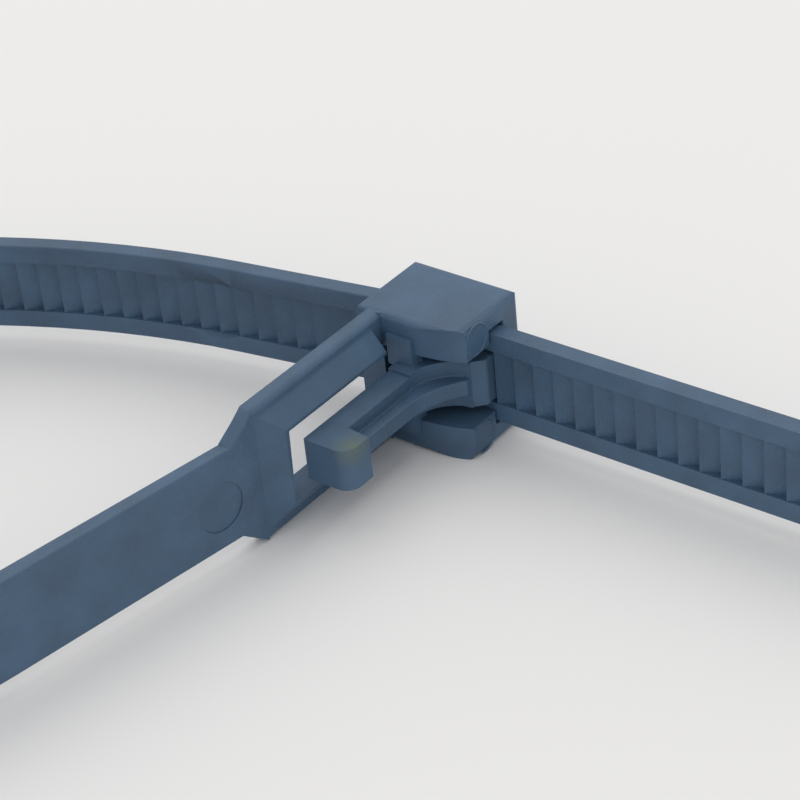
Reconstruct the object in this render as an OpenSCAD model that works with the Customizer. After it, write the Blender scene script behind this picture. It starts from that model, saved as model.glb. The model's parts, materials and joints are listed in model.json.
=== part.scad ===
// Releasable cable tie, one moulding, closed into a loop and standing on its edge.
// The strap's width runs along Z. The origin is the centre of the round part of the loop,
// at the middle of the strap's width.
//
// The tie is drawn in its head's own axes and then moved to that origin:
// X runs the way the tail is pulled through the head, and Y = 0 is the tail's toothed face.

/* [Strap] */
// Width of the strap
strap_w = 7.6; // [7:0.1:9.2]
// Thickness of the toothed strap
strap_t = 1.45; // [1.2:0.05:1.75]
// Thickness of the plain strap next to the head
root_t = 1.2; // [1:0.05:1.45]
// Width of the plain rail on each side of the teeth
rail_w = 1.54; // [1.2:0.02:1.9]
// Distance from one tooth to the next
tooth_pitch = 1.73; // [1.4:0.01:2.1]
// Depth of the teeth
tooth_depth = 0.82; // [0.6:0.02:0.9]
// How far the tooth tips lie behind the rails
tip_sink = 0.03; // [0.02:0.01:0.1]

/* [Loop] */
// Diameter of the bundle that the round part of the loop holds
bundle_d = 52; // [44:1:62]
// Outer radius of the wide bend between the head and the round part
wide_r = 74; // [66:1:84]
// Where the strap starts to bend, from the left side of the head
entry_x = 0.66; // [0.4:0.02:1]
// Outer radius of the bend where the tail enters the head
entry_r = 15; // [12:0.5:20]
// Turn of the tail where it enters the head, in degrees
entry_turn = 10; // [8:0.5:12]
// Length of straight tail between that bend and the wide bend
entry_run = 12.2; // [10:0.2:15]
// Turn of the strap where it leaves the window frame, in degrees
root_turn = 9.5; // [7:0.5:12]
// Outer radius of that turn
root_r = 12; // [10:0.5:16]

/* [Tail] */
// Length of straight toothed tail, from the bend at the head to the plain tip
tail_toothed = 40; // [32:0.5:50]
// Length of the plain tip
tip_l = 12; // [9:0.5:16]
// Width of the tip at its end
tip_w = 4.4; // [3:0.1:5.4]

/* [Head] */
// Length of the head along the tail
head_l = 9.26; // [8.2:0.02:11.2]
// Height of the head
head_h = 11.22; // [10.4:0.1:13.6]
// Thickness of the wall behind the strap
back_wall = 2.3; // [1.9:0.05:2.8]
// Depth of the cheeks in front of the strap
cheek_d = 3.85; // [3.2:0.05:4.6]
// Clearance of the strap in its slot, front and back
slot_gap = 0.12; // [0.08:0.01:0.2]
// Clearance of the strap in its slot, top and bottom
slot_side_gap = 0.29; // [0.15:0.01:0.4]
// Height of the open mouth between the cheeks
mouth_h = 5.74; // [5:0.02:6.4]
// Thickness of the wall that closes the left of the mouth
mouth_wall = 2; // [1.4:0.05:2.4]
// Radius of the head's upright corners at the back
head_corner_r = 0.9; // [0.4:0.05:1.3]
// Radius of the head's top and bottom edges in front
head_edge_r = 0.45; // [0.2:0.05:0.7]
// Radius of the head's top and bottom edges at the back
head_back_r = 1; // [0.5:0.05:1.2]
// Radius of the top and bottom edges on the end beside the window frame
head_end_r = 0.35; // [0.2:0.05:0.6]
// Radius of the top and bottom edges on the end where the tail comes out
head_tail_r = 0.6; // [0.3:0.05:0.85]
// Radius of the curved front of the cheeks
cheek_front_r = 10; // [8:0.5:14]
// Length of flat cheek before that curve
cheek_flat = 5.15; // [4.4:0.05:5.9]

/* [Pawl and lever] */
// Height of the pawl
pawl_h = 3.9; // [3.2:0.05:4.2]
// Clearance between the pawl's teeth and the tail's teeth
pawl_gap = 0.14; // [0.1:0.01:0.2]
// Number of teeth on the pawl
pawl_teeth = 2; // [1:1:2]
// Length of the pawl's right face in front of the tail's toothed face
pawl_face = 0.75; // [0.5:0.05:1]
// Bevel below that face
pawl_bevel = 0.8; // [0.5:0.05:1]
// Where the rib's sweep ends, in front of the tail's toothed face
pawl_reach = 2.05; // [1.7:0.05:2.4]
// Radius of the hollow between the lever bar and the pawl
hollow_r = 3.4; // [2.8:0.1:3.6]
// Where that hollow starts, in front of the tail's toothed face
hollow_reach = 5.1; // [4.8:0.1:5.6]
// How far the lever bar's inner face runs into the mouth
lever_in = 1; // [0.6:0.1:1.4]
// Height of the lever
lever_h = 3.4; // [2.8:0.05:3.8]
// Thickness of the lever bar
lever_t = 1.95; // [1.6:0.05:2.2]
// Gap between the window frame and the lever
lever_gap = 0.14; // [0.1:0.01:0.3]
// Reach of the lever in front of the tail's toothed face
lever_reach = 15.1; // [13:0.1:17]
// Length of the thumb hook across the lever
hook_l = 3.95; // [3.3:0.05:4.4]
// Thickness of the thumb hook along the lever
hook_t = 2.6; // [2:0.05:3]
// Radius of the hook's nose
hook_nose_r = 1.2; // [0.8:0.05:1.5]
// Height of the rib that carries the pawl
rib_h = 1.36; // [1:0.02:1.8]
// How far the rib stands out from the lever bar
rib_out = 1.05; // [0.8:0.05:1.3]
// Radius of the rib's sweep into the pawl
rib_r = 6.7; // [5.5:0.1:8]
// Thickness of the webs that the lever hinges on
hinge_t = 1.25; // [1:0.05:1.5]
// Length of those webs along the tail
hinge_l = 2.25; // [1.8:0.05:2.6]
// How far the webs start behind the lever
hinge_lap = 0.75; // [0.4:0.05:0.9]
// Height of the webs on the cheeks, above the mouth
hinge_pad_h = 1.28; // [0.8:0.02:1.6]
// How far the webs stand out from the cheeks
hinge_proud = 0.3; // [0.2:0.05:0.5]

/* [Window frame] */
// Inside face of the frame, from the left side of the head
frame_x = 1.04; // [0.8:0.02:1.3]
// Height of the frame
frame_h = 11.1; // [10:0.1:13.4]
// Height of the window
window_h = 5.98; // [5:0.02:6.6]
// Reach of the window in front of the tail's toothed face
window_reach = 16.35; // [15.8:0.05:19]
// How far the collar round the window stands out from the frame
collar_out = 1.2; // [0.8:0.05:1.5]
// Width of the collar's sloping sides
collar_slope = 1.5; // [1.2:0.05:1.7]
// Width of the collar's flat top
collar_land = 0.24; // [0.15:0.01:0.3]
// Distance from the collar to the webs of the lever
collar_gap = 0.8; // [0.5:0.1:1.2]
// Distance from the window to the shoulders of the frame
shoulder_run = 2.1; // [1.9:0.05:3]
// Length of the shoulders
shoulder_l = 2.3; // [1.6:0.05:3]
// Radius of the frame's long edges
frame_edge_r = 0.5; // [0.3:0.05:0.6]

/* [Hidden] */
$fn = 96;
tie_colour = "#4c6478";
// How far a cutter runs past what it cuts
over = 0.5;
// Neighbouring stretches of strap and of channel lap by this much, and every other one is this
// much slimmer on each face, so that they join inside each other and not face to face
lap = 0.3;
slim = 0.01;
// Full-size stretches of strap run this far past the joints of their channels
run_on = 0.1;
// How far the hinge webs reach into the lever
hinge_sink = 0.1;
// Straight pieces in the open side of an arc's channel
arc_steps = 12;

// strap and head
channel_h = strap_w - 2 * rail_w;
slot_h = strap_w + 2 * slot_side_gap;
head_back = strap_t + slot_gap + back_wall;

// frame: its plate is as thick as the plain strap, so their outer faces are one
frame_out = frame_x + root_t;
collar_x = frame_out + collar_out;
shoulder_y = -window_reach - shoulder_run;

// lever
lever_x = collar_x + lever_gap;
lever_out = lever_x + lever_t;

// pawl: its right face stands just short of the last wall of the tail's teeth inside the head,
// and its teeth stand half as far again behind the tail's
tail_step = tail_toothed / round(tail_toothed / tooth_pitch);
pawl_wall = entry_x + round((head_l - entry_x) / tail_step) * tail_step;
pawl_x = pawl_wall - pawl_gap;
pawl_back = -1.5 * pawl_gap;

// The strap's outer face is a chain of tangent lines and arcs. It runs from the head along the
// tail's side, once round the loop and back to the frame. Only two values close it: where the
// wide bend gives way to the round part, and the length of the straight root.
function dir(a) = [cos(a), sin(a)];
function left_of(a) = dir(a + 90);
round_r = bundle_d / 2 + strap_t;
wide_from = 180 + entry_turn;
root_dir = 90 - root_turn;
entry_c = [entry_x, strap_t - entry_r];
entry_end = entry_c + entry_r * dir(wide_from - 90);
wide_start = entry_end + entry_run * dir(wide_from);
wide_c = wide_start + wide_r * left_of(wide_from);
bend_c = [frame_out - root_r, shoulder_y];
root_start = bend_c + root_r * dir(-root_turn);
wide_cos = (round_r - (wide_c - root_start) * left_of(root_dir)) / (wide_r - round_r);
wide_to = root_dir + 90 - acos(wide_cos);
loop_c = wide_c + (wide_r - round_r) * dir(wide_to);
round_end = loop_c - round_r * left_of(root_dir);
root_run = norm(root_start - round_end);

// A box given by its two corners
module box(low, high) {
    translate(low) cube(high - low);
}

// A stretch of strap on an arc, from angle a0 to a1 about the centre c
module arc_strap(c, r_out, t, a0, a1, h) {
    translate([c.x, c.y, -h / 2])
        rotate([0, 0, a0])
            rotate_extrude(angle = a1 - a0)
                translate([r_out - t, 0]) square([t, h]);
}

// The same stretch, longer at each end by more and slimmer on each face by less
module lapped_arc(c, r_out, t, a0, a1, h, more = lap, less = slim) {
    extra = more / r_out * 180 / PI;
    arc_strap(c, r_out - less, t - 2 * less, a0 - extra, a1 + extra, h - 2 * less);
}

// A straight stretch of strap that runs in direction a from p, with p on its right-hand face
module line_strap(p, a, l, t, h) {
    translate([p.x, p.y, -h / 2])
        rotate([0, 0, a])
            cube([l, t, h]);
}

// The same stretch, longer at each end by more and slimmer on each face by less
module lapped_line(p, a, l, t, h, more = lap, less = slim) {
    line_strap(p - more * dir(a) + less * left_of(a), a, l + 2 * more, t - 2 * less, h - 2 * less);
}

// Profile of n teeth along a line: each rises at once and slopes away, and the near side is open
function line_teeth(n, step) = concat(
    [[-lap / 4, tip_sink]],
    [for (i = [0 : n - 1], k = [0, 1])
        k == 0 ? [i * step, tip_sink] : [(i + 1) * step, tooth_depth]],
    [[n * step, -over], [-lap / 4, -over]]);

// The same profile round an arc of inner radius r, from its tail end at a1 back to a0
function arc_teeth(n, r, a0, a1) = concat(
    [(r + tip_sink) * dir(a1) + lap / 4 * left_of(a1)],
    [for (i = [0 : n - 1], k = [0, 1])
        let (a = a1 - (i + k) * (a1 - a0) / n)
        (r + (k == 0 ? tip_sink : tooth_depth)) * dir(a)],
    [for (i = [0 : arc_steps]) (r - over) * dir(a0 + i * (a1 - a0) / arc_steps)],
    [(r - over) * dir(a1) + lap / 4 * left_of(a1)]);

// Cutter for the toothed channel of a straight stretch
module line_channel(p, a, l, h) {
    n = round(l / tooth_pitch);
    translate([p.x, p.y, -h / 2])
        rotate([0, 0, a])
            linear_extrude(h) polygon(line_teeth(n, l / n));
}

// Cutter for the toothed channel of an arc
module arc_channel(c, r_out, a0, a1, h) {
    r = r_out - strap_t;
    n = round(r * (a1 - a0) * PI / 180 / tooth_pitch);
    translate([c.x, c.y, -h / 2])
        linear_extrude(h) polygon(arc_teeth(n, r, a0, a1));
}

// Toothed strap from the plain tip through the head and round the loop, as plain bars
module toothed_bars() {
    lapped_line([entry_x, 0], 0, tail_toothed, strap_t, strap_w, run_on, 0);
    lapped_arc(entry_c, entry_r, strap_t, 90, wide_from - 90, strap_w);
    lapped_line(entry_end, wide_from, entry_run, strap_t, strap_w, run_on, 0);
    lapped_arc(wide_c, wide_r, strap_t, wide_from - 90, wide_to, strap_w);
    lapped_arc(loop_c, round_r, strap_t, wide_to, 270 + root_dir, strap_w, run_on, 0);
}

// The toothed channels of those bars
module toothed_channels() {
    slim_h = channel_h - 2 * slim;
    line_channel([entry_x, 0], 0, tail_toothed, channel_h);
    arc_channel(entry_c, entry_r, 90, wide_from - 90, slim_h);
    line_channel(wide_start + strap_t * left_of(wide_from), wide_from - 180, entry_run, channel_h);
    arc_channel(wide_c, wide_r, wide_from - 90, wide_to, slim_h);
    arc_channel(loop_c, round_r, wide_to, 270 + root_dir, channel_h);
}

// Plain tip of the tail, as thick as the strap
module tip() {
    translate([entry_x + tail_toothed, strap_t - slim, 0])
        rotate([90, 0, 0])
            linear_extrude(strap_t - 2 * slim) tip_outline();
}

// Toothed strap with its tip
module strap() {
    difference() {
        toothed_bars();
        toothed_channels();
    }
    tip();
}

// Outline of the plain tip, with a round end
module tip_outline() {
    end_r = tip_w / 2;
    polygon([
        [-lap, -strap_w / 2], [0, -strap_w / 2], [tip_l - end_r, -end_r],
        [tip_l - end_r, end_r], [0, strap_w / 2], [-lap, strap_w / 2]]);
    translate([tip_l - end_r, 0]) circle(end_r);
}

// Plain strap from the round part to the frame, widening at the shoulders into the frame's plate
module root_strap() {
    intersection() {
        union() {
            lapped_line(round_end, root_dir, root_run, root_t, frame_h);
            arc_strap(bend_c, root_r, root_t, -root_turn, 0, frame_h);
            box([frame_x + slim, shoulder_y - lap, -frame_h / 2],
                [frame_out - slim, lap - cheek_d, frame_h / 2]);
        }
        shoulder_limits();
    }
}

// Everything that lies within the strap's width, the sloping shoulders and the frame's height
module shoulder_limits() {
    low = shoulder_y - shoulder_l;
    far = round_end.y - lap;
    translate([round_end.x - strap_w, 0, 0])
        rotate([90, 0, 90])
            linear_extrude(frame_out - round_end.x + strap_w + over)
                polygon([
                    [far, -strap_w / 2], [low, -strap_w / 2], [shoulder_y, -frame_h / 2],
                    [0, -frame_h / 2], [0, frame_h / 2], [shoulder_y, frame_h / 2],
                    [low, strap_w / 2], [far, strap_w / 2]]);
}

// Sloping collar that stands out round the window
module collar() {
    base = window_h / 2 + collar_land + collar_slope;
    land = window_h / 2 + collar_land;
    far = -window_reach - collar_land;
    near = -cheek_d - hinge_proud - collar_gap;
    intersection() {
        translate([0, near, 0])
            rotate([90, 0, 0])
                linear_extrude(near - far + collar_slope)
                    polygon([
                        [frame_out - root_t / 2, -base], [frame_out, -base], [collar_x, -land],
                        [collar_x, land], [frame_out, base], [frame_out - root_t / 2, base]]);
        translate([0, 0, -base])
            linear_extrude(2 * base)
                polygon([
                    [frame_out - root_t / 2, far - collar_slope], [frame_out, far - collar_slope],
                    [collar_x, far], [collar_x, near], [frame_out - root_t / 2, near]]);
    }
}

// Frame with its window, and the strap that it grows out of
module window_frame() {
    difference() {
        union() {
            root_strap();
            collar();
        }
        box([frame_x - over, -window_reach, -window_h / 2],
            [collar_x + over, -cheek_d, window_h / 2]);
        for (side = [-1, 1]) frame_edge(side);
    }
}

// Cutter that rounds the outer long edge of the frame's plate
module frame_edge(side) {
    l = -cheek_d - shoulder_y;
    translate([frame_out - frame_edge_r, -cheek_d, side * (frame_h / 2 - frame_edge_r)])
        rotate([90, 0, 0])
            linear_extrude(l)
                difference() {
                    translate([0, side > 0 ? 0 : -2 * frame_edge_r])
                        square(2 * frame_edge_r);
                    circle(frame_edge_r);
                }
}

// Plan of the head: square at the front right, round at the back, cheeks curved in front
module head_plan() {
    depth = cheek_d + head_back;
    intersection() {
        translate([0, -cheek_d]) rounded_back(head_l, depth, head_corner_r);
        union() {
            translate([-over, -cheek_d - over]) square([cheek_flat + over, depth + 2 * over]);
            translate([cheek_flat, cheek_front_r - cheek_d]) circle(cheek_front_r, $fn = 180);
        }
    }
}

// Rectangle whose two far corners are round
module rounded_back(l, d, r) {
    square([l, d - r]);
    translate([r, d - 2 * r]) square([l - 2 * r, 2 * r]);
    for (x = [r, l - r]) translate([x, d - r]) circle(r);
}

// Rectangle about the origin, with its own corner radius on the left and on the right
module rounded_rect(l, d, left_r, right_r) {
    translate([left_r - l / 2, -d / 2]) square([l - left_r - right_r, d]);
    for (side = [-1, 1]) {
        r = side < 0 ? left_r : right_r;
        x = side * (l / 2 - r);
        translate([side < 0 ? -l / 2 : x - r, r - d / 2]) square([2 * r, d - 2 * r]);
        for (y = [-1, 1]) translate([x, y * (d / 2 - r)]) circle(r);
    }
}

// Head: a block with soft edges, a slot for the strap and a mouth for the pawl
module head() {
    depth = cheek_d + head_back;
    difference() {
        intersection() {
            translate([0, 0, -head_h / 2]) linear_extrude(head_h) head_plan();
            translate([-over, head_back - depth / 2, 0])
                rotate([90, 0, 90])
                    linear_extrude(head_l + 2 * over)
                        rounded_rect(depth, head_h, head_edge_r, head_back_r);
            translate([head_l / 2, head_back + over, 0])
                rotate([90, 0, 0])
                    linear_extrude(depth + 2 * over)
                        rounded_rect(head_l, head_h, head_end_r, head_tail_r);
        }
        box([-over, -slot_gap, -slot_h / 2], [head_l + over, strap_t + slot_gap, slot_h / 2]);
        box([mouth_wall, -cheek_d - over, -mouth_h / 2],
            [head_l + over, strap_t / 2, mouth_h / 2]);
    }
}

// Plan of the lever: a bar along the frame with a thumb hook at its end
module lever_plan() {
    hook_x = lever_x + hook_l;
    translate([lever_x, -lever_reach + hook_t / 2])
        square([lever_t, lever_reach - hook_t / 2 - cheek_d + over]);
    difference() {
        translate([lever_x, -lever_reach]) square([hook_l, hook_t]);
        translate([hook_x - hook_nose_r, -lever_reach + hook_nose_r])
            difference() {
                translate([0, -2 * hook_nose_r]) square(2 * hook_nose_r);
                circle(hook_nose_r);
            }
    }
}

// Plan of the rib from the hook to the pawl, hollowed by its sweep
module rib_plan() {
    sweep_y = -pawl_reach - rib_r * sin(45);
    difference() {
        translate([lever_out - over, -lever_reach + hook_t / 2])
            square([pawl_x - pawl_bevel + over - lever_out,
                    lever_reach - hook_t / 2 - pawl_reach + over]);
        translate([lever_out + rib_out + rib_r, sweep_y]) circle(rib_r, $fn = 180);
        translate([lever_out + rib_out, -lever_reach]) square([rib_r, lever_reach + sweep_y]);
    }
}

// Plan of the pawl, from the lever bar to its teeth
module pawl_plan() {
    front_x = pawl_x - pawl_bevel;
    difference() {
        polygon(concat(
            [[lever_x, -hollow_reach], [front_x, -hollow_reach],
             [front_x, -pawl_face - pawl_bevel], [pawl_x, -pawl_face]],
            [for (i = [0 : pawl_teeth - 1], k = [0, 1])
                [pawl_x - (i + k) * tail_step,
                 k == 0 ? tooth_depth - 2 * pawl_gap : pawl_back]],
            [[lever_out, pawl_back], [lever_x, lever_in - cheek_d]]));
        translate([lever_out + hollow_r, -hollow_reach]) circle(hollow_r);
        translate([lever_out + hollow_r, -hollow_reach - over]) square([head_l, hollow_r + over]);
    }
}

// One of the two webs that join the lever to the cheeks and flex as its hinge
module hinge_web() {
    box([lever_x - hinge_lap, -cheek_d - hinge_proud, lever_h / 2 - hinge_sink],
        [lever_x - hinge_lap + hinge_l, -cheek_d - hinge_proud + hinge_t,
         mouth_h / 2 + hinge_pad_h]);
}

// Lever, rib, pawl and hinge webs
module pawl_and_lever() {
    translate([0, 0, -lever_h / 2]) linear_extrude(lever_h) lever_plan();
    translate([0, 0, -rib_h / 2]) linear_extrude(rib_h) rib_plan();
    translate([0, 0, -pawl_h / 2]) linear_extrude(pawl_h) pawl_plan();
    hinge_web();
    mirror([0, 0, 1]) hinge_web();
}

// The whole tie, moved so that the centre of its loop is the origin
module cable_tie() {
    color(tie_colour)
        translate([-loop_c.x, -loop_c.y, 0]) {
            strap();
            window_frame();
            head();
            pawl_and_lever();
        }
}

cable_tie();
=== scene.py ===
"""Releasable cable tie in blue-grey nylon, standing on its edge on a pale surface."""
import json
import math
import bmesh
import bpy
from mathutils import Matrix, Vector


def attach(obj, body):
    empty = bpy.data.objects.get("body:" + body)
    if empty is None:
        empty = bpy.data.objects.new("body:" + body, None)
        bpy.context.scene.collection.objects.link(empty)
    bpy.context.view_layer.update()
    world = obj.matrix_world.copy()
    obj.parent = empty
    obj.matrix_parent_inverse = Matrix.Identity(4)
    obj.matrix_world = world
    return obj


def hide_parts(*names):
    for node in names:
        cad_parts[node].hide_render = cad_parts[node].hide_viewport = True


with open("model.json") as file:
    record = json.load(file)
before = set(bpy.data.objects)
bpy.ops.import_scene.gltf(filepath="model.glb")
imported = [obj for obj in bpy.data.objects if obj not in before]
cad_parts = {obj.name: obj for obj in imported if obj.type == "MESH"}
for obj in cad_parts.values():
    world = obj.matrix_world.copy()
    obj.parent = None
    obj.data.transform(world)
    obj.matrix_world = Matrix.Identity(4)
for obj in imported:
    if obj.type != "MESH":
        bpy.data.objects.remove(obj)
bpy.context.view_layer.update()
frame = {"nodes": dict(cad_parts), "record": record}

MM = 0.001


# ---------- places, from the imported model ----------

def mount(name):
    """Place of one of the record's mounts."""
    found = [m for m in frame["record"]["mounts"] if m["name"] == name]
    return Vector(found[0]["pos_m"])


HEAD_L = 9.26 * MM
HEAD_FOOT = mount("head_side")
HEAD_RIGHT = HEAD_FOOT.x + HEAD_L / 2
HEAD_LEFT = HEAD_FOOT.x - HEAD_L / 2
# plane of the tail's toothed face; the head's mount lies 0.01 mm behind it
TOOTH_FACE = HEAD_FOOT.y - 0.01 * MM
# outer face of the plain strap where it runs straight from the window frame, and the way it faces
ROOT_OUT = Vector((HEAD_LEFT + 2.075 * MM, TOOTH_FACE - 20.43 * MM, 0))
ROOT_FACING = math.radians(-9.5)


# ---------- small tools ----------

def only(obj):
    """Selects one object and makes it active."""
    bpy.ops.object.select_all(action="DESELECT")
    obj.select_set(True)
    bpy.context.view_layer.objects.active = obj


def apply_all(obj):
    """Applies every modifier of an object."""
    only(obj)
    for modifier in list(obj.modifiers):
        bpy.ops.object.modifier_apply(modifier=modifier.name)


def linear(hex_colour):
    """An sRGB hex colour as the linear values that a shader takes."""
    parts = [int(hex_colour[i:i + 2], 16) / 255 for i in (1, 3, 5)]
    return tuple(c / 12.92 if c <= 0.04045 else ((c + 0.055) / 1.055) ** 2.4 for c in parts) + (1.0,)


def add_node(tree, kind, settings=None, inputs=None):
    """Adds a shader node. An input that is a socket is linked, and any other is set as a constant."""
    node = tree.nodes.new(kind)
    for name, value in (settings or {}).items():
        setattr(node, name, value)
    for name, value in (inputs or {}).items():
        if isinstance(value, bpy.types.NodeSocket):
            tree.links.new(value, node.inputs[name])
        else:
            node.inputs[name].default_value = value
    return node


# ---------- material ----------

# a colour mix's sockets share their names with its number sockets, so they go by place
COLOUR_A, COLOUR_B, MIXED_COLOUR = 6, 7, 2
CLOUD_SIZE = 4 * MM
# drawn coarser than such a grain usually is, so that it shows
PIT_SIZE = 0.14 * MM
PIT_DEPTH = 0.07 * MM
# middle of the hook's rounded nose, and how far its tint reaches
HOOK_NOSE = Vector((HEAD_FOOT.x + 2.6 * MM, HEAD_FOOT.y - 14.0 * MM, 1.7 * MM))
TINT_REACH = 1.8 * MM


def moulded_nylon():
    """Nylon from a spark-eroded mould: fine matt grain, faint clouds and soft wide highlights."""
    material = bpy.data.materials.new("spark_eroded_nylon")
    material.use_nodes = True
    tree = material.node_tree
    tree.nodes.clear()
    place = add_node(tree, "ShaderNodeTexCoord").outputs["Object"]

    # faint clouds of two close blues
    cloud = add_node(tree, "ShaderNodeTexNoise", None,
                     {"Vector": place, "Scale": 1 / CLOUD_SIZE, "Detail": 3.0, "Roughness": 0.5})
    body = add_node(tree, "ShaderNodeValToRGB", None, {"Fac": cloud.outputs["Fac"]})
    body.color_ramp.elements[0].position = 0.3
    body.color_ramp.elements[0].color = linear("#39526a")
    body.color_ramp.elements[1].position = 0.7
    body.color_ramp.elements[1].color = linear("#425f7b")

    # the hook's rounded nose is slightly olive
    about_nose = add_node(tree, "ShaderNodeMapping", {"vector_type": "TEXTURE"},
                          {"Vector": place, "Location": HOOK_NOSE, "Scale": (TINT_REACH,) * 3})
    near_nose = add_node(tree, "ShaderNodeTexGradient", {"gradient_type": "SPHERICAL"},
                         {"Vector": about_nose.outputs["Vector"]})
    tinted = add_node(tree, "ShaderNodeMix", {"data_type": "RGBA"},
                      {"Factor": near_nose.outputs["Fac"], COLOUR_A: body.outputs["Color"],
                       COLOUR_B: linear("#57675f")})

    # fine pits all over, which also break up the sheen
    grain = add_node(tree, "ShaderNodeTexNoise", None,
                     {"Vector": place, "Scale": 1 / PIT_SIZE, "Detail": 2.0, "Roughness": 0.6})
    sheen = add_node(tree, "ShaderNodeMapRange", None,
                     {"Value": grain.outputs["Fac"], "From Min": 0.3, "From Max": 0.7,
                      "To Min": 0.46, "To Max": 0.62})
    bump = add_node(tree, "ShaderNodeBump", None,
                    {"Height": grain.outputs["Fac"], "Strength": 0.8, "Distance": PIT_DEPTH})
    shader = add_node(tree, "ShaderNodeBsdfPrincipled", None,
                      {"Base Color": tinted.outputs[MIXED_COLOUR], "Roughness": sheen.outputs["Result"],
                       "Normal": bump.outputs["Normal"], "IOR": 1.53, "Specular IOR Level": 0.5})
    add_node(tree, "ShaderNodeOutputMaterial", None, {"Surface": shader.outputs["BSDF"]})
    return material


def pale_surface():
    """Matt white surface that the tie stands on."""
    material = bpy.data.materials.new("pale_surface")
    material.use_nodes = True
    shader = material.node_tree.nodes["Principled BSDF"]
    shader.inputs["Base Color"].default_value = linear("#ecebea")
    shader.inputs["Roughness"].default_value = 0.8
    return material


# ---------- the tie ----------

# points closer than this become one, which takes in the 0.01 mm steps where stretches of strap join
WELD = 0.016 * MM
# faces that turn less than this become one: under one facet of the widest radius
FLAT_WITHIN = math.radians(0.2)
# facets that turn less than this shade as one curve: under one strip of a square edge's radius
SMOOTH_WITHIN = math.radians(16)

# radius on the moulding's sharp edges, and the turns that count as sharp
EDGE_R = 0.12 * MM
SHARP_FROM, SHARP_TO = math.radians(35), math.radians(150)
# what a radius needs: length of edge, mean width of the face beside it, and angle to the next edge
SHORTEST_EDGE = 0.35 * MM
NARROWEST_FACE = 0.3 * MM
NARROWEST_FORK = math.radians(25)

# half the height of the toothed channel, and a little over
CHANNEL_HALF = 2.3 * MM
# from the head's right end to the last tooth, and how far around it the edges stay crisp
TEETH_END = 31.2 * MM
TEETH_END_REACH = 2 * MM
# the stretch that holds head, lever and frame: past the head's left and right ends, and in front
LEFT_MARGIN, RIGHT_MARGIN = 1.5 * MM, 0.5 * MM
FRAME_REACH, TOOTH_MARGIN = 19 * MM, 0.05 * MM

# rings on the cheeks' right ends: their size, depth of their middle in the wall, and place
RING_R, RING_WIRE_R, RING_SUNK = 1.22 * MM, 0.09 * MM, 0.03 * MM
RING_AHEAD, RING_UP = 1.68 * MM, 4.25 * MM

# round mark on the plain strap: its size, and its place along the strap and below the middle
MARK_R, MARK_DEPTH = 1.95 * MM, 0.1 * MM
MARK_ALONG, MARK_DOWN = 1.87 * MM, 0.4 * MM
CUTTER_LENGTH = 2 * MM


def weigh_sharp_edges(obj):
    """Marks for rounding each sharp edge that has room for a radius. The strap's teeth stay crisp."""
    mesh = bmesh.new()
    mesh.from_mesh(obj.data)
    weight = mesh.edges.layers.float.new("bevel_weight_edge")
    for edge in mesh.edges:
        sharp = SHARP_FROM < abs(edge.calc_face_angle_signed(0)) < SHARP_TO
        tooth = all(abs(v.co.z) < CHANNEL_HALF for v in edge.verts) and not near_head(edge)
        length = edge.calc_length()
        wide = all(face.calc_area() > NARROWEST_FACE * length for face in edge.link_faces)
        if (sharp and wide and not tooth and length > SHORTEST_EDGE
                and clear_of_last_tooth(edge) and all(has_room(edge, v) for v in edge.verts)):
            edge[weight] = 1.0
    mesh.to_mesh(obj.data)
    mesh.free()


def near_head(edge):
    """True if this edge is on the head, the lever or the window frame, and not on the strap."""
    middle = (edge.verts[0].co + edge.verts[1].co) / 2
    return (HEAD_LEFT - LEFT_MARGIN < middle.x < HEAD_RIGHT + RIGHT_MARGIN
            and TOOTH_FACE - FRAME_REACH < middle.y < TOOTH_FACE - TOOTH_MARGIN)


def clear_of_last_tooth(edge):
    """False where the teeth run out, because the last tooth leaves only slivers there."""
    return all(abs(v.co.x - HEAD_RIGHT - TEETH_END) > TEETH_END_REACH for v in edge.verts)


def has_room(edge, corner):
    """True if no other edge at this corner is short, or runs close along this one."""
    along = edge.other_vert(corner).co - corner.co
    for other in corner.link_edges:
        if other is edge:
            continue
        away = other.other_vert(corner).co - corner.co
        if away.length < SHORTEST_EDGE or along.angle(away) < NARROWEST_FORK:
            return False
    return True


def cut_out(obj, tool):
    """Cuts a tool's shape out of an object, and removes the tool."""
    step = obj.modifiers.new("cut_out", "BOOLEAN")
    step.operation = "DIFFERENCE"
    step.solver = "EXACT"
    step.object = tool
    apply_all(obj)
    bpy.data.objects.remove(tool, do_unlink=True)


def cheek_ring(tie, side):
    """Thin raised ring on the right end of a cheek.

    It is a closed ring sunk part way into the wall, so that the end face stays whole.
    """
    bpy.ops.object.select_all(action="DESELECT")
    bpy.ops.mesh.primitive_torus_add(
        major_radius=RING_R, minor_radius=RING_WIRE_R, major_segments=64, minor_segments=24,
        location=(HEAD_RIGHT - RING_SUNK, TOOTH_FACE - RING_AHEAD, side * RING_UP),
        rotation=(0, math.pi / 2, 0))
    tie.select_set(True)
    bpy.context.view_layer.objects.active = tie
    bpy.ops.object.join()


def strap_mark(tie):
    """Shallow round sink in the plain strap's outer face, just past the bend by the window frame."""
    along = Vector((math.sin(ROOT_FACING), -math.cos(ROOT_FACING), 0))
    facing = Vector((math.cos(ROOT_FACING), math.sin(ROOT_FACING), 0))
    sink_floor = ROOT_OUT + along * MARK_ALONG - facing * MARK_DEPTH
    bpy.ops.object.select_all(action="DESELECT")
    bpy.ops.mesh.primitive_cylinder_add(
        vertices=96, radius=MARK_R, depth=CUTTER_LENGTH,
        location=sink_floor + facing * CUTTER_LENGTH / 2 - Vector((0, 0, MARK_DOWN)),
        rotation=(0, math.pi / 2, ROOT_FACING))
    cut_out(tie, bpy.context.object)


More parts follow.
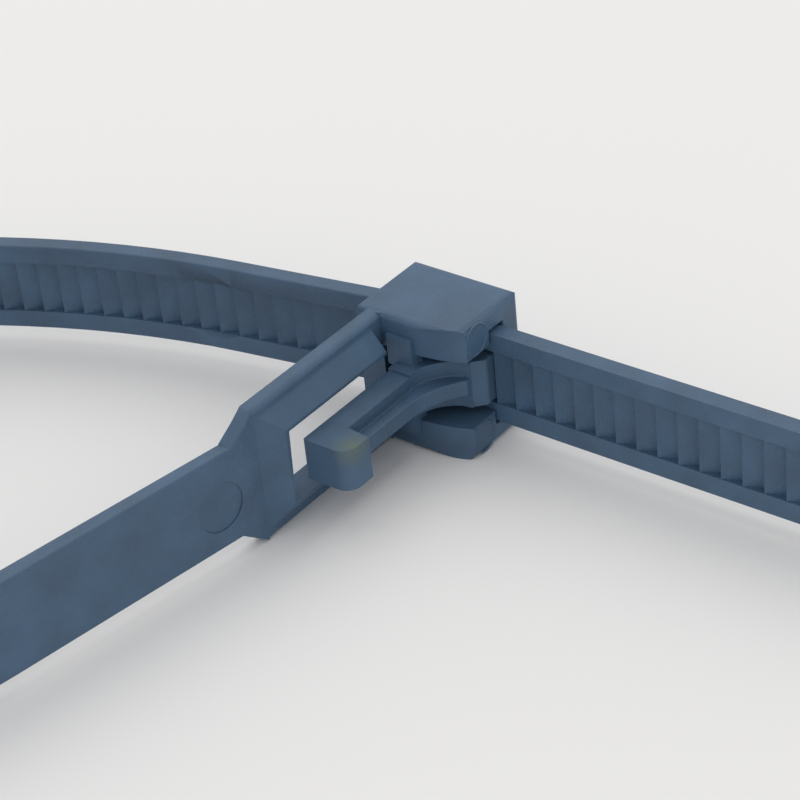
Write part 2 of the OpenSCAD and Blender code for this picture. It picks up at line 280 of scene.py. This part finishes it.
def tie_body(material):
    """The whole moulding, from its construction solid, with small radii on its sharp edges."""
    source = frame["nodes"]["cable_tie"]
    tie = source.copy()
    tie.data = source.data.copy()
    tie.name = "tie_moulding"
    bpy.context.scene.collection.objects.link(tie)
    tie.parent = None
    tie.matrix_world = source.matrix_world.copy()
    only(tie)
    bpy.ops.object.mode_set(mode="EDIT")
    bpy.ops.mesh.select_all(action="SELECT")
    bpy.ops.mesh.remove_doubles(threshold=WELD)
    bpy.ops.mesh.dissolve_limited(angle_limit=FLAT_WITHIN)
    bpy.ops.object.mode_set(mode="OBJECT")
    # cut before the radii, while the faces are still plain
    strap_mark(tie)
    weigh_sharp_edges(tie)
    rounding = tie.modifiers.new("edge_radii", "BEVEL")
    rounding.width = EDGE_R
    rounding.segments = 2
    rounding.limit_method = "WEIGHT"
    rounding.use_clamp_overlap = False
    apply_all(tie)
    for side in (-1, 1):
        cheek_ring(tie, side)
    bpy.ops.object.shade_smooth_by_angle(angle=SMOOTH_WITHIN)
    # where a curve meets a flat face, the larger face leads the shading
    evening = tie.modifiers.new("flat_faces", "WEIGHTED_NORMAL")
    evening.mode = "FACE_AREA"
    evening.weight = 50
    evening.keep_sharp = True
    apply_all(tie)
    tie.data.materials.clear()
    tie.data.materials.append(material)
    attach(tie, "root")
    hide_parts("cable_tie")


# ---------- surroundings ----------

def floor(material):
    """Large pale plane at the head's foot."""
    bpy.ops.object.select_all(action="DESELECT")
    bpy.ops.mesh.primitive_plane_add(size=4.0, location=(0, 0, HEAD_FOOT.z))
    plane = bpy.context.object
    plane.name = "surface"
    plane.data.materials.append(material)


def area_light(name, azimuth, elevation, distance, size, power):
    """Square soft light that faces the head. Azimuth 0 stands at -Y and 90 at +X."""
    a, e = math.radians(azimuth), math.radians(elevation)
    out = Vector((math.sin(a) * math.cos(e), -math.cos(a) * math.cos(e), math.sin(e)))
    data = bpy.data.lights.new(name, "AREA")
    data.size = size
    data.energy = power
    lamp = bpy.data.objects.new(name, data)
    bpy.context.scene.collection.objects.link(lamp)
    lamp.location = HEAD_FOOT + out * distance
    lamp.rotation_euler = out.to_track_quat("Z", "Y").to_euler()


def lighting():
    """Pale sky all round, with one large light above and behind on the left and a weak one in front."""
    world = bpy.data.worlds.new("studio")
    bpy.context.scene.world = world
    world.use_nodes = True
    sky = world.node_tree.nodes["Background"]
    sky.inputs["Color"].default_value = (1.0, 1.0, 1.0, 1.0)
    sky.inputs["Strength"].default_value = 0.86
    area_light("key", azimuth=215, elevation=62, distance=0.8, size=0.9, power=1.3)
    area_light("fill", azimuth=20, elevation=35, distance=0.9, size=0.6, power=0.15)


def camera():
    """Camera in front and to the right of the head, looking down on it."""
    azimuth, elevation, roll = math.radians(40.6), math.radians(33.6), math.radians(-6.2)
    distance = 191.1 * MM
    aim = HEAD_FOOT + Vector((-3.0, -1.93, 2.21)) * MM
    back = Vector((math.sin(azimuth) * math.cos(elevation),
                   -math.cos(azimuth) * math.cos(elevation), math.sin(elevation)))
    level = Vector((math.cos(azimuth), math.sin(azimuth), 0))
    above = back.cross(level)
    right = math.cos(roll) * level + math.sin(roll) * above
    up = math.cos(roll) * above - math.sin(roll) * level
    data = bpy.data.cameras.new("camera")
    data.sensor_width = 36.0
    data.lens = 114.3
    data.clip_start = 0.01
    eye = bpy.data.objects.new("camera", data)
    bpy.context.scene.collection.objects.link(eye)
    turn = Matrix((right, up, back)).transposed().to_4x4()
    eye.matrix_world = Matrix.Translation(aim + back * distance) @ turn
    bpy.context.scene.camera = eye


nylon = moulded_nylon()
tie_body(nylon)
floor(pale_surface())
lighting()
camera()
bpy.context.scene.view_settings.view_transform = "Standard"
